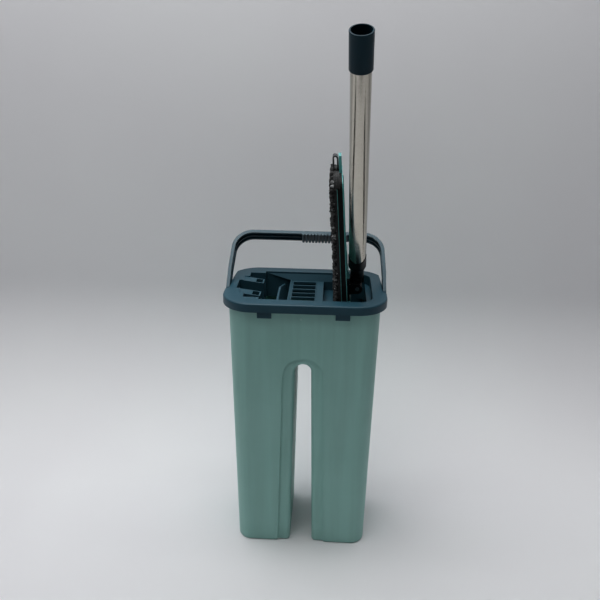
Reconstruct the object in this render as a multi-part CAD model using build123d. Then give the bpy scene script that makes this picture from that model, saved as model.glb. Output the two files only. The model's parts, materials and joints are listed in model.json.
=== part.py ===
"""Flat squeeze mop standing in its two-legged wash-and-dry bucket.

Millimetres, +Z up, +X to the dry side, -Y to the front.
The origin is the centre of the bucket's base, on the floor.
"""

from build123d import *
import os
from math import atan2, degrees, sqrt

os.makedirs("parts", exist_ok=True)

# ---- bucket -------------------------------------------------------------------------------
BUCKET_HEIGHT = 397.0
SHELL_TOP = 394.0
SHELL_WALL = 2.2
SHELL_TOP_SIZE = (203.6, 134.2)
SHELL_BASE_SIZE = (191.4, 119.0)
SHELL_TOP_CORNER = 25.0
SHELL_BASE_CORNER = 20.0
FOOT_EDGE_RADIUS = 3.0

GAP_HALF_WIDTH_BASE = 16.8
GAP_HALF_WIDTH_TOP = 11.3
GAP_SPRING = 293.0
GAP_EDGE_RADIUS = 6.3
PANEL_HALF_WIDTH_BASE = 35.0
PANEL_HALF_WIDTH_TOP = 28.0
PANEL_SPRING = 288.0
PANEL_DEPTH = 2.6
GAP_WALL = 2.8
LUG_HALF_WIDTH = 6.0
LUG_PROUD = 2.2
LUG_Z = (378.0, 379.0, 384.0)

# ---- slate top frame ----------------------------------------------------------------------
RIM_SIZE = (222.0, 147.0)
RIM_CORNER = 42.0
RIM_SKIRT = 12.0
RIM_WALL = 2.2
RIM_EDGE_RADIUS = 2.5
ARM_POCKET_X = 106.2
ARM_POCKET_TAPER_X = 104.2
ARM_POCKET_Y = (-14.0, 28.0, 58.0)
WELL_X = (-61.0, 91.0)
WELL_HALF_DEPTH = 55.0
WELL_CORNER = 18.0
WELL_WALL = 2.0
WELL_FLOOR = 358.0
FINGER_ROOT_X = -95.0
FINGER_SLOT_X = -82.0
FINGER_Y = (16.0, 33.0, 48.0)
FINGER_DROP = 4.5
BRIDGE_TOP = 385.0
BRIDGE_FLOOR = 3.0
BRIDGE_X = (-24.5, 24.0)
BRIDGE_HALF_DEPTH = 50.0
LOW_DECK_TOP = 372.0
LOW_DECK_FLOOR = 2.5
DECK_WALL = 2.0
SLOPE_FOOT = 370.0
SCRAPER_TOP_X = (-37.5, -34.8)
SCRAPER_FOOT_X = (-30.7, -28.0)
SCRAPER_Z = (356.0, 395.0)
SCRAPER_HALF_WIDTH = 55.5
SCRAPER_WEB_Y = (-39.5, -36.5)
SCRAPER_WEB_Z = (382.0, 389.0)
DRY_CHUTE_X = (38.0, 84.0)
DRY_LEDGE_Z = (380.0, 383.0)
CHUTE_HALF_DEPTH = 56.0
CHUTE_FLOOR = 338.0
LIP_SLOT_Z = (363.0, 367.0)
LIP_SLOT_HALF_WIDTH = 50.0
LIP_REACH = 4.4
GRILLE_X = (-21.2, 14.2)
GRILLE_Y = (-46.2, 48.2)
GRILLE_THICKNESS = 3.2
GRILLE_PROUD = 0.6
GRILLE_SLOT_X = (-19.6, 12.8)
GRILLE_SLOT_START = -43.6
GRILLE_SLOT_WIDTH = 12.8
GRILLE_SLOT_PITCH = 15.2
GRILLE_SLOTS = 6
CLIP_X = 51.5
CLIP_SIZE = (19.0, 2.6, 18.0)
CLIP_WINDOW_HALF_WIDTH = 7.0
CLIP_WINDOW_Z = (376.5, 385.0)
BOSS_RADIUS = 7.0
BOSS_START = 102.6

# ---- carrying handle ----------------------------------------------------------------------
HANDLE_PIVOT_Z = 388.5
HANDLE_LEAN = 47.7
HANDLE_REACH = 92.4
HANDLE_HALF_SPAN = 111.0
HANDLE_BAR_HALF_SPAN = 107.6
HANDLE_STRIP = (20.0, 4.5)
HANDLE_CORNER = 30.0
HANDLE_STRAIGHT = 30.0
CHANNEL_INSET = 2.2
CHANNEL_SIDE_WALL = 2.4
CHANNEL_RIB_HALF = 0.7
CHANNEL_FOOT = 22.0
GRIP_X = (-9.0, 57.0)
GRIP_RIB_START = -7.6
GRIP_RIB_PITCH = 4.7
GRIP_RIB_RADIUS = 1.9
GRIP_RIB_DROP = 0.9
GRIP_RIB_OVERHANG = 0.8
GRIP_RIBS = 14
PIVOT_PIN_RADIUS = 4.0
PIVOT_PIN_X = (103.0, 109.4)
PIVOT_HEAD_RADIUS = 6.5
PIVOT_HEAD_START = 109.2
PIVOT_HEAD_CLEARANCE = 0.08
RUNNING_CLEARANCE = 0.05

# ---- mop head -----------------------------------------------------------------------------
HEAD_LEAN = 4.2
FOLD_AXIS = Vector(70.6, 0.0, 400.0)
PLATE_STANDOFF = 13.9
PLATE_HALF_LENGTH = 160.0
PLATE_HALF_WIDTH = 47.5
PLATE_THICKNESS = 8.0
PLATE_CORNER = 14.0
PLATE_LIP = 0.9
GROOVE_DEPTH = 3.0
PAD_HALF_LENGTH = 162.0
PAD_HALF_WIDTH = 50.0
PAD_CLOTH = 3.2
PAD_PILE = 4.2
PAD_TAPE = 1.5
PILE_EDGE_RADIUS = 2.0
POCKET_START = 144.0
TAB_END = 181.0
TAB_X = (-4.4, -0.6)
TAB_HALF_WIDTH = 13.0
TAB_SLOT_HALF_WIDTH = 9.5
TAB_SLOT_Z = (168.5, 174.5)
WEDGE_LINE = ((-1.0, 17.0), (4.2, 17.0), (4.2, 22.0), (2.4, 27.0), (2.4, 52.0), (0.0, 62.0), (-1.0, 62.0))
WEDGE_HALF_WIDTH = 19.0
BACK_RIB_LINE = ((-1.0, 58.0), (1.2, 58.0), (1.2, 148.0), (-1.0, 150.0))
BACK_RIB_Y = (24.0, 27.0)
CELL_START = 30.0
CELL_LENGTH = 38.5
CELL_HALF_WIDTH = 12.8
CELL_PITCH = (28.0, 41.0)
CELL_FLOOR = 2.2
LOOP_CENTRE_X = -8.7
LOOP_RADII = (1.6, 4.0)
LOOP_HALF_WIDTH = 9.0
LOOP_TOP = 177.5
HINGE_FOOT = (16.5, 18.5)
HINGE_FOOT_THICKNESS = 3.2
EAR_Y = (11.6, 15.6)
EAR_RADIUS = 7.0
SCREW_AT = (13.0, 12.5)
SCREW_RADIUS = 1.7
SCREW_HEAD_RADIUS = 3.4
SCREW_HEAD_X = (1.7, 3.6)
CROSS_FLOOR = 2.8
CROSS_HALF = (0.5, 2.2)

# ---- pole ---------------------------------------------------------------------------------
SWIVEL_CENTRE = Vector(70.2, 0.0, 410.0)
POLE_DIRECTION = Vector(-0.0377, -0.4587, 0.8878).normalized()
TUBE_RADIUS = 11.4
TUBE_WALL = 0.7
COLLAR_RADIUS = 12.05
POLE_LENGTH = 358.0
COUPLER_LENGTH = 42.0
COUPLER_RADIUS = 12.8
SOCKET_RADIUS = 11.1
SOCKET_DEPTH = 26.0
SLEEVE_EDGE_RADIUS = 0.6
PIN_RADIUS = 3.0
CROSS_PIN_RADIUS = 2.6
LOWER_BARREL = (7.0, 11.2)
UPPER_BARREL = (6.2, 5.4)
FORK_HALF_WIDTH = 9.2
FORK_EAR_RADIUS = 6.0
FORK_EAR_TOP = 12.0
FORK_GAP_HALF_WIDTH = 5.9
FORK_GAP_RADIUS = 8.2
COLLAR_Z = (27.0, 50.0)
SCALLOP_RADIUS = 16.0
SCALLOP_Z = 56.0
PLUG_Z = (26.0, 62.0)
PLUG_BORE_START = 34.0
PLUG_WALL = 1.8
TUBE_FOOT = 30.2
FORK_SCREW_Z = 37.0
FORK_SCREW_RADIUS = 1.4
FORK_SCREW_HEAD_RADIUS = 2.8
FIT = 0.03

TINY = 0.3


def node(name, *solids):
    """Write the solids of one named piece to its own STEP file."""
    flat = []
    for solid in solids:
        flat += solid.solids()
    shape = flat[0] if len(flat) == 1 else Compound(flat)
    shape.label = name
    export_step(shape, f"parts/{name}.step")


def box(x, y, z):
    """A box from its low and high value on each axis."""
    size = Box(x[1] - x[0], y[1] - y[0], z[1] - z[0])
    return Pos((x[0] + x[1]) / 2, (y[0] + y[1]) / 2, (z[0] + z[1]) / 2) * size


def bar(radius, start, end):
    """A round bar between two points."""
    start, end = Vector(start), Vector(end)
    plane = Plane(origin=start, z_dir=end - start)
    return Solid.make_cylinder(radius, (end - start).length, plane)


def prism_y(points, y):
    """Extrude an outline of X, Z points from y[0] to y[1]."""
    face = make_face(Polyline([(px, y[0], pz) for px, pz in points], close=True).edges())
    return extrude(face, amount=y[1] - y[0], dir=(0, 1, 0))


def prism_x(points, x):
    """Extrude an outline of Y, Z points from x[0] to x[1]."""
    face = make_face(Polyline([(x[0], py, pz) for py, pz in points], close=True).edges())
    return extrude(face, amount=x[1] - x[0], dir=(1, 0, 0))


def slab(size, corner, z):
    """A rounded rectangle between two heights."""
    return Pos(0, 0, z[0]) * extrude(RectangleRounded(size[0], size[1], corner), z[1] - z[0])


# ---- bucket shell -------------------------------------------------------------------------


def tapered_block(inset, bottom, top):
    """The bucket's drafted outer block, pulled in by an inset on every side."""
    faces = []
    for z, size, corner in (
        (0.0, SHELL_BASE_SIZE, SHELL_BASE_CORNER),
        (SHELL_TOP, SHELL_TOP_SIZE, SHELL_TOP_CORNER),
    ):
        outline = RectangleRounded(size[0] - 2 * inset, size[1] - 2 * inset, corner - inset)
        faces.append(Pos(0, 0, z) * outline)
    block = loft(faces)
    return block & box((-150, 150), (-100, 100), (bottom, top))


def arch_prism(base_half, top_half, spring, grow, y):
    """A tapered arch, wider at the floor, cut through along Y."""
    base, top = base_half + grow, top_half + grow
    left = Line((-base, y[0], -1.0), (-top, y[0], spring))
    crown = ThreePointArc((-top, y[0], spring), (0, y[0], spring + top), (top, y[0], spring))
    right = Line((top, y[0], spring), (base, y[0], -1.0))
    foot = Line((base, y[0], -1.0), (-base, y[0], -1.0))
    face = make_face([left, crown, right, foot])
    return extrude(face, amount=y[1] - y[0], dir=(0, 1, 0))


def gap_tool(grow):
    return arch_prism(GAP_HALF_WIDTH_BASE, GAP_HALF_WIDTH_TOP, GAP_SPRING, grow, (-90, 90))


def panel_tool(grow, inset):
    """The shallow arched panel around the gap, on the front and the back."""
    prism = arch_prism(PANEL_HALF_WIDTH_BASE, PANEL_HALF_WIDTH_TOP, PANEL_SPRING, grow, (-90, 90))
    return prism - tapered_block(inset, -5, SHELL_TOP)


def bucket_shell():
    outer = tapered_block(0, 0, SHELL_TOP) - panel_tool(0, PANEL_DEPTH) - gap_tool(0)
    crown = GAP_SPRING + GAP_HALF_WIDTH_TOP
    mouth = [
        edge
        for edge in outer.edges()
        if abs(edge.center().X) < GAP_HALF_WIDTH_BASE + 1
        and abs(edge.center().Y) > 50
        and 20 < edge.center().Z < crown + 3
    ]
    outer = fillet(mouth, GAP_EDGE_RADIUS)
    soles = outer.faces().sort_by(Axis.Z)[0:2]
    rim_edges = [edge for sole in soles for edge in sole.edges()]
    outer = fillet(rim_edges, FOOT_EDGE_RADIUS)
    inside = tapered_block(SHELL_WALL, SHELL_WALL, SHELL_TOP + 1)
    inside -= panel_tool(SHELL_WALL, PANEL_DEPTH + SHELL_WALL)
    inside -= gap_tool(GAP_WALL)
    shell = outer - inside
    lug_y = SHELL_TOP_SIZE[1] / 2 - 1.0
    for x in (-CLIP_X, CLIP_X):
        for side in (-1, 1):
            low, middle, high = LUG_Z
            ramp = [(side * lug_y, high), (side * (lug_y + LUG_PROUD), middle), (side * lug_y, low)]
            shell += prism_x(ramp, (x - LUG_HALF_WIDTH, x + LUG_HALF_WIDTH))
    return shell


# ---- top frame ----------------------------------------------------------------------------


def rim_outline():
    """The rim seen from above, pulled in at both sides where the handle's arms lie."""
    outline = RectangleRounded(RIM_SIZE[0], RIM_SIZE[1], RIM_CORNER)
    low, middle, high = ARM_POCKET_Y
    for side in (-1, 1):
        pocket = Polyline(
            (side * ARM_POCKET_X, low),
            (side * ARM_POCKET_X, middle),
            (side * ARM_POCKET_TAPER_X, high),
            (side * ARM_POCKET_TAPER_X, high + 20),
            (side * 130, high + 20),
            (side * 130, low - 4),
            (side * (RIM_SIZE[0] / 2 + 1), low - 4),
            close=True,
        )
        outline -= make_face(pocket.edges())
    return outline


def well_outline():
    """The opening in the rim's top: the well, and the slots between its comb fingers."""
    half = WELL_HALF_DEPTH
    well = make_face(Polyline((WELL_X[0], -half), (WELL_X[1], -half), (WELL_X[1], half),
                              (WELL_X[0], half), close=True).edges())
    right = [vertex for vertex in well.vertices() if vertex.X > 0]
    well = fillet(right, WELL_CORNER)
    near, far, end = FINGER_Y
    slots = [((FINGER_ROOT_X, WELL_X[0]), (-near, near))]
    slots += [((FINGER_SLOT_X, WELL_X[0]), (far, end)), ((FINGER_SLOT_X, WELL_X[0]), (-end, -far))]
    for x, y in slots:
        slot = Pos((x[0] + x[1]) / 2, (y[0] + y[1]) / 2) * Rectangle(x[1] - x[0] + 1, y[1] - y[0])
        well += slot
    return well


def well_walls():
    """Thin walls that hang from the deck around the well and around the finger slots."""
    walls = Pos(0, 0, WELL_FLOOR) * extrude(offset(well_outline(), WELL_WALL, kind=Kind.INTERSECTION),
                                            SHELL_TOP + 1 - WELL_FLOOR)
    walls -= Pos(0, 0, WELL_FLOOR - 1) * extrude(well_outline(), SHELL_TOP + 5 - WELL_FLOOR)
    return walls


def back_slope(side):
    """The slanted wall between the rim and the bridge, with its dark undercut at the wash end."""
    half = WELL_HALF_DEPTH
    slope = prism_x(
        [(side * (half + 1), 394.5), (side * half, 394.5), (side * BRIDGE_HALF_DEPTH, BRIDGE_TOP),
         (side * BRIDGE_HALF_DEPTH, SLOPE_FOOT), (side * (half + 1), SLOPE_FOOT)],
        (WELL_X[0] - 1, DRY_CHUTE_X[0]),
    )
    undercut = [(WELL_X[0] - 2, 395), (WELL_X[0], 395), (BRIDGE_X[0], BRIDGE_TOP + 1),
                (BRIDGE_X[0], 360), (WELL_X[0] - 2, 360)]
    depth = sorted((side * (BRIDGE_HALF_DEPTH - 1), side * half))
    return slope - prism_y(undercut, depth)


def scraper_wall():
    """The slanted wall that the pad is drawn against in the wash chute."""
    foot, top = SCRAPER_Z
    outline = [(SCRAPER_TOP_X[0], top), (SCRAPER_TOP_X[1], top),
               (SCRAPER_FOOT_X[1], foot), (SCRAPER_FOOT_X[0], foot)]
    plate = prism_y(outline, (-SCRAPER_HALF_WIDTH, SCRAPER_HALF_WIDTH))
    trim = prism_x([(-6, top + 1), (56, 378), (56, top + 5), (-6, top + 5)], (-45, -20))
    web = box((SCRAPER_TOP_X[1] - 1.2, BRIDGE_X[0] + 1), SCRAPER_WEB_Y, SCRAPER_WEB_Z)
    wash_side = [(-60, foot - 26), (-60, top + 5), (SCRAPER_TOP_X[1] - 1.4, top),
                 (SCRAPER_FOOT_X[1] - 1.4, foot), (SCRAPER_FOOT_X[1], foot - 26)]
    web -= prism_y(wash_side, (-45, -30))
    return (plate - trim) + web


def bridge():
    """The raised floor between the two chutes, with a window for the grille and a low deck."""
    deep = (-BRIDGE_HALF_DEPTH - 1, BRIDGE_HALF_DEPTH + 1)
    floor = box(BRIDGE_X, deep, (BRIDGE_TOP - BRIDGE_FLOOR, BRIDGE_TOP))
    floor -= box((GRILLE_X[0] - TINY, GRILLE_X[1] + TINY), (GRILLE_Y[0] - TINY, GRILLE_Y[1] + TINY),
                 (BRIDGE_TOP - 5, BRIDGE_TOP + 2))
    left = box((BRIDGE_X[0], BRIDGE_X[0] + DECK_WALL), deep, (360, BRIDGE_TOP + 1.2))
    deck_bottom = LOW_DECK_TOP - LOW_DECK_FLOOR
    riser = box((BRIDGE_X[1] - DECK_WALL, BRIDGE_X[1]), deep, (deck_bottom, BRIDGE_TOP - 1))
    deck = box((BRIDGE_X[1] - 1, DRY_CHUTE_X[0]), deep, (deck_bottom, LOW_DECK_TOP))
    wall_x = (DRY_CHUTE_X[0] - DECK_WALL, DRY_CHUTE_X[0])
    wall = box(wall_x, (-CHUTE_HALF_DEPTH, CHUTE_HALF_DEPTH), (CHUTE_FLOOR, LOW_DECK_TOP))
    wall -= box((wall_x[0] - 1, wall_x[1] + 1), (-LIP_SLOT_HALF_WIDTH, LIP_SLOT_HALF_WIDTH), LIP_SLOT_Z)
    return floor + left + riser + deck + wall


def dry_chute():
    """The ledge on the pole side and the chute's lower walls."""
    deep = (-CHUTE_HALF_DEPTH, CHUTE_HALF_DEPTH)
    ledge = box((DRY_CHUTE_X[1], WELL_X[1] + 1), deep, DRY_LEDGE_Z)
    inner = box((DRY_CHUTE_X[1], DRY_CHUTE_X[1] + DECK_WALL), deep, (CHUTE_FLOOR, DRY_LEDGE_Z[1]))
    chute = ledge + inner
    span = (DRY_CHUTE_X[0] - DECK_WALL, DRY_CHUTE_X[1] + DECK_WALL)
    for side in (-1, 1):
        y = sorted((side * WELL_HALF_DEPTH, side * (WELL_HALF_DEPTH + WELL_WALL)))
        chute += box(span, y, (CHUTE_FLOOR, WELL_FLOOR + 2))
    outline = offset(well_outline(), WELL_WALL, kind=Kind.INTERSECTION)
    keep = Pos(0, 0, CHUTE_FLOOR - 38) * extrude(outline, 120)
    return chute & keep


def clip(x, side):
    """A snap tab that hangs from the skirt over a lug on the shell."""
    width, thick, drop = CLIP_SIZE
    outer = side * (SHELL_TOP_SIZE[1] / 2 + 4.4)
    inner = outer - side * thick
    top = SHELL_TOP + 0.5
    tab = box((x - width / 2, x + width / 2), sorted((outer, inner)), (top - drop, top))
    window_x = (x - CLIP_WINDOW_HALF_WIDTH, x + CLIP_WINDOW_HALF_WIDTH)
    return tab - box(window_x, sorted((inner - side * 1, inner + side * 1.4)), CLIP_WINDOW_Z)


def top_frame():
    outline = rim_outline()
    base = BUCKET_HEIGHT - RIM_SKIRT
    cap = Pos(0, 0, base) * extrude(outline, RIM_SKIRT)
    top_edges = cap.faces().sort_by(Axis.Z)[-1].edges()
    cap = fillet(top_edges, RIM_EDGE_RADIUS)
    inner = offset(outline, -RIM_WALL, kind=Kind.INTERSECTION)
    cap -= Pos(0, 0, base - 1) * extrude(inner, RIM_SKIRT - 2)
    cap -= Pos(0, 0, base) * extrude(well_outline(), RIM_SKIRT + 1)
    frame = cap + well_walls() + scraper_wall() + bridge() + dry_chute()
    for side in (-1, 1):
        frame += back_slope(side)
        hole = bar(PIVOT_PIN_RADIUS + RUNNING_CLEARANCE, (side * 100, 0, HANDLE_PIVOT_Z),
                   (side * 115, 0, HANDLE_PIVOT_Z))
        boss = bar(BOSS_RADIUS, (side * BOSS_START, 0, HANDLE_PIVOT_Z),
                   (side * (ARM_POCKET_X - 1), 0, HANDLE_PIVOT_Z))
        boss &= box((-120, 120), (-10, 10), (BUCKET_HEIGHT - RIM_SKIRT, BUCKET_HEIGHT - 1))
        frame = (frame + boss) - hole
        for x in (-CLIP_X, CLIP_X):
            frame += clip(x, side)
    ramp = [(-96, 398), (-70, 398), (-60.5, 398), (-60.5, BUCKET_HEIGHT - FINGER_DROP), (-95, 397)]
    near, far, _ = FINGER_Y
    for y in ((near - 0.01, far + 0.01), (-far - 0.01, -near + 0.01)):
        frame -= prism_y(ramp, y) & box((-90, WELL_X[0]), (-60, 60), (390, 400))
    return frame


def drain_grille():
    """A removable grille: a thin rim and narrow bars along X."""
    bottom = BRIDGE_TOP + GRILLE_PROUD - GRILLE_THICKNESS
    plate = box(GRILLE_X, GRILLE_Y, (bottom, BRIDGE_TOP + GRILLE_PROUD))
    for count in range(GRILLE_SLOTS):
        y = GRILLE_SLOT_START + GRILLE_SLOT_PITCH * count
        plate -= box(GRILLE_SLOT_X, (y, y + GRILLE_SLOT_WIDTH), (bottom - 1, BRIDGE_TOP + 2))
    return plate


def squeeze_lip():
    """The soft wiper that presses water out of the pad in the dry chute."""
    x = DRY_CHUTE_X[0]
    low, high = LIP_SLOT_Z
    across = (-LIP_SLOT_HALF_WIDTH + TINY, LIP_SLOT_HALF_WIDTH - TINY)
    root = box((x - 6.0, x - DECK_WALL), (across[0] + 1.7, across[1] - 1.7), (low - 2, high + 2))
    neck = box((x - DECK_WALL - 0.5, x + 0.5), across, (low + TINY, high - TINY))
    tip_x = x + LIP_REACH
    blade = prism_y([(x, low - 0.5), (tip_x, high - 1.5), (tip_x, high), (x, high + 1.5)], across)
    return root + neck + blade


def handle_pivot(side):
    """A push-in pivot pin with its head sunk in the handle's arm."""
    near, far = PIVOT_PIN_X
    shank = bar(PIVOT_PIN_RADIUS, (side * near, 0, HANDLE_PIVOT_Z), (side * far, 0, HANDLE_PIVOT_Z))
    head = bar(PIVOT_HEAD_RADIUS, (side * PIVOT_HEAD_START, 0, HANDLE_PIVOT_Z),
               (side * HANDLE_HALF_SPAN, 0, HANDLE_PIVOT_Z))
    return shank + head


# ---- handle -------------------------------------------------------------------------------


def bail_face(inset, foot):
    """The handle's outline in its own plane, from one foot over the bar to the other."""
    outer = HANDLE_HALF_SPAN - inset
    bar_half = HANDLE_BAR_HALF_SPAN - inset
    top = HANDLE_REACH - inset
    points = [(-outer, foot), (-outer, HANDLE_STRAIGHT), (-bar_half, top), (bar_half, top),
              (outer, HANDLE_STRAIGHT), (outer, foot)]
    face = make_face(Polyline([(x, 0, z) for x, z in points], close=True).edges())
    crown = [vertex for vertex in face.vertices() if vertex.Z > top - 1]
    return fillet(crown, HANDLE_CORNER - inset)


def handle_bail():
    """A flat bent strip with a channel inside it and round grip ribs under its bar."""
    width, thick = HANDLE_STRIP
    half = width / 2
    bail = extrude(bail_face(0, -half), amount=half, dir=(0, 1, 0), both=True)
    bail -= extrude(bail_face(thick, -half - 1), amount=half + 1, dir=(0, 1, 0), both=True)
    hollow = bail_face(CHANNEL_INSET, CHANNEL_FOOT)
    channel = extrude(hollow, amount=half - CHANNEL_SIDE_WALL, dir=(0, 1, 0), both=True)
    channel -= extrude(hollow, amount=CHANNEL_RIB_HALF, dir=(0, 1, 0), both=True)
    channel -= box(GRIP_X, (-half, half), (HANDLE_REACH / 2, HANDLE_REACH + 20))
    bail -= channel
    for side in (-1, 1):
        corner = box((side * 112 - 8, side * 112 + 8), (-half - 1, half + 1), (-half - 1, 0))
        bail -= corner - bar(half, (side * 104, 0, 0), (side * 120, 0, 0))
        bail -= bar(PIVOT_PIN_RADIUS + RUNNING_CLEARANCE, (side * 100, 0, 0), (side * 115, 0, 0))
        bail -= bar(PIVOT_HEAD_RADIUS + PIVOT_HEAD_CLEARANCE,
                    (side * (PIVOT_HEAD_START - 0.1), 0, 0), (side * 115, 0, 0))
    reach = half + GRIP_RIB_OVERHANG
    rib_z = HANDLE_REACH - thick - GRIP_RIB_DROP
    for count in range(GRIP_RIBS):
        x = GRIP_RIB_START + GRIP_RIB_PITCH * count
        bail += bar(GRIP_RIB_RADIUS, (x, -reach, rib_z), (x, reach, rib_z))
    return Pos(0, 0, HANDLE_PIVOT_Z) * Rot(-HANDLE_LEAN, 0, 0) * bail


# ---- mop head -----------------------------------------------------------------------------
# Built in the plate's own axes: local Z along the plate, local Y across it, and local X = 0 on
# the back face with +X towards the pole. The pad is on the -X side.


def seat_head(shape):
    """Stand a piece of the head in the dry chute, leaning by HEAD_LEAN."""
    back = Pos(-PLATE_STANDOFF, 0, 0) * shape
    return Pos(*FOLD_AXIS) * Rot(0, -HEAD_LEAN, 0) * back


def head_slab(half_length, half_width, corner, x):
    face = Plane.YZ * RectangleRounded(2 * half_width, 2 * half_length, corner)
    return Pos(x[0], 0, 0) * extrude(face, amount=x[1] - x[0], dir=(1, 0, 0))


def end_tabs(grow, end):
    """The tongues at both ends of the plate, each with a slot."""
    tabs = None
    for side in (-1, 1):
        z = sorted((side * (PLATE_HALF_LENGTH - 4), side * end))
        x = (TAB_X[0] - grow, TAB_X[1] + grow)
        tab = box(x, (-TAB_HALF_WIDTH - grow, TAB_HALF_WIDTH + grow), z)
        tabs = tab if tabs is None else tabs + tab
    return tabs


def mop_plate():
    plate = head_slab(PLATE_HALF_LENGTH, PLATE_HALF_WIDTH, PLATE_CORNER, (-PLATE_THICKNESS, 0))
    groove_x = (-PLATE_THICKNESS + PLATE_LIP, -PLATE_LIP)
    ring = head_slab(PLATE_HALF_LENGTH + 1, PLATE_HALF_WIDTH + 1, PLATE_CORNER, groove_x)
    ring -= head_slab(PLATE_HALF_LENGTH - GROOVE_DEPTH, PLATE_HALF_WIDTH - GROOVE_DEPTH,
                      PLATE_CORNER - GROOVE_DEPTH, groove_x)
    plate -= ring
    plate += end_tabs(0, TAB_END)
    for side in (-1, 1):
        z = sorted((side * TAB_SLOT_Z[0], side * TAB_SLOT_Z[1]))
        plate -= box((-6, 1), (-TAB_SLOT_HALF_WIDTH, TAB_SLOT_HALF_WIDTH), z)
        wedge = [(px, side * pz) for px, pz in WEDGE_LINE]
        plate += prism_y(wedge, (-WEDGE_HALF_WIDTH, WEDGE_HALF_WIDTH))
        rib = [(px, side * pz) for px, pz in BACK_RIB_LINE]
        for y in (-1, 1):
            plate += prism_y(rib, sorted((y * BACK_RIB_Y[0], y * BACK_RIB_Y[1])))
        for row in range(3):
            for column in (-1, 0, 1):
                low = CELL_START + row * CELL_PITCH[1]
                cell_z = sorted((side * low, side * (low + CELL_LENGTH)))
                middle = column * CELL_PITCH[0]
                cell_y = (middle - CELL_HALF_WIDTH, middle + CELL_HALF_WIDTH)
                plate -= box((-PLATE_THICKNESS - 1, -CELL_FLOOR), cell_y, cell_z)
    for y, z in screw_places():
        plate -= bar(SCREW_RADIUS + 0.05, (-6, y, z), (1, y, z))
    return seat_head(plate)


def edge_strip():
    """The dark soft strip let into the groove around the plate."""
    x = (-PLATE_THICKNESS + PLATE_LIP, -PLATE_LIP)
    inset = GROOVE_DEPTH
    strip = head_slab(PLATE_HALF_LENGTH - 0.4, PLATE_HALF_WIDTH - 0.4, PLATE_CORNER - 0.4, x)
    strip -= head_slab(PLATE_HALF_LENGTH - inset, PLATE_HALF_WIDTH - inset, PLATE_CORNER - inset,
                       (x[0] - 1, x[1] + 1))
    strip -= end_tabs(TINY, TAB_END + 1)
    return seat_head(strip)


def screw_places():
    return [(y, z) for y in (-SCREW_AT[0], SCREW_AT[0]) for z in (-SCREW_AT[1], SCREW_AT[1])]


def hinge_base():
    """The bracket on the plate's back: a foot and two ears for the fold pin."""
    base = head_slab(HINGE_FOOT[0], HINGE_FOOT[1], 4.0, (0, HINGE_FOOT_THICKNESS))
    for side in (-1, 1):
        y = sorted((side * EAR_Y[0], side * EAR_Y[1]))
        base += box((2, PLATE_STANDOFF), y, (-EAR_RADIUS, EAR_RADIUS))
        base += bar(EAR_RADIUS, (PLATE_STANDOFF, y[0], 0), (PLATE_STANDOFF, y[1], 0))
    base -= bar(PIN_RADIUS, (PLATE_STANDOFF, -20, 0), (PLATE_STANDOFF, 20, 0))
    for y, z in screw_places():
        base -= bar(SCREW_RADIUS + 0.5, (-1, y, z), (HINGE_FOOT_THICKNESS + 1, y, z))
        base -= bar(SCREW_HEAD_RADIUS + 0.2, (SCREW_HEAD_X[0] - 0.1, y, z),
                    (HINGE_FOOT_THICKNESS + 0.1, y, z))
    return seat_head(base)


def hinge_screw(y, z):
    """A small pan-head screw with a cross recess."""
    low, high = SCREW_HEAD_X
    shank = bar(SCREW_RADIUS, (-5.5, y, z), (low + 0.3, y, z))
    head = bar(SCREW_HEAD_RADIUS, (low, y, z), (high, y, z))
    narrow, wide = CROSS_HALF
    head -= box((CROSS_FLOOR, high + 0.4), (y - narrow, y + narrow), (z - wide, z + wide))
    head -= box((CROSS_FLOOR, high + 0.4), (y - wide, y + wide), (z - narrow, z + narrow))
    return seat_head(shank + head)


def fold_pin():
    """The pin that the knuckle folds on, pressed through both ears."""
    ends = (-EAR_Y[1], EAR_Y[1])
    pin = bar(PIN_RADIUS, (PLATE_STANDOFF, ends[0], 0), (PLATE_STANDOFF, ends[1], 0))
    return seat_head(pin)


def pad_layer(half_length, half_width, x):
    return head_slab(half_length, half_width, PLATE_CORNER + 2, x)


def pad_cloth():
    """The pad's woven base cloth, against the plate's front."""
    x = (-PLATE_THICKNESS - PAD_CLOTH, -PLATE_THICKNESS)
    return seat_head(pad_layer(PAD_HALF_LENGTH - PAD_TAPE, PAD_HALF_WIDTH - PAD_TAPE, x))


def pad_binding():
    """The tape sewn around the base cloth."""
    x = (-PLATE_THICKNESS - PAD_CLOTH, -PLATE_THICKNESS)
    tape = pad_layer(PAD_HALF_LENGTH, PAD_HALF_WIDTH, x)
    tape -= pad_layer(PAD_HALF_LENGTH - PAD_TAPE, PAD_HALF_WIDTH - PAD_TAPE, (x[0] - 1, x[1] + 1))
    return seat_head(tape)


def pad_pile():
    """The deep microfibre pile."""
    x = (-PLATE_THICKNESS - PAD_CLOTH - PAD_PILE, -PLATE_THICKNESS - PAD_CLOTH)
    pile = pad_layer(PAD_HALF_LENGTH, PAD_HALF_WIDTH, x)
    face = pile.faces().sort_by(Axis.X)[0]
    return seat_head(fillet(face.edges(), PILE_EDGE_RADIUS))


def pad_pocket(side):
    """The pad's pocket around one end of the plate, slit for the tongue."""
    x = (-PLATE_THICKNESS, -PLATE_LIP - TINY)
    cap = head_slab(PAD_HALF_LENGTH - 0.2, PAD_HALF_WIDTH - 0.8, PLATE_CORNER + 1.5, x)
    cap -= head_slab(PLATE_HALF_LENGTH + 0.1, PLATE_HALF_WIDTH + 0.1, PLATE_CORNER, (-20, 5))
    z = sorted((side * POCKET_START, side * (PAD_HALF_LENGTH + 5)))
    cap &= box((-20, 5), (-60, 60), z)
    cap -= end_tabs(TINY, TAB_END + 1)
    return seat_head(cap)


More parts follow.
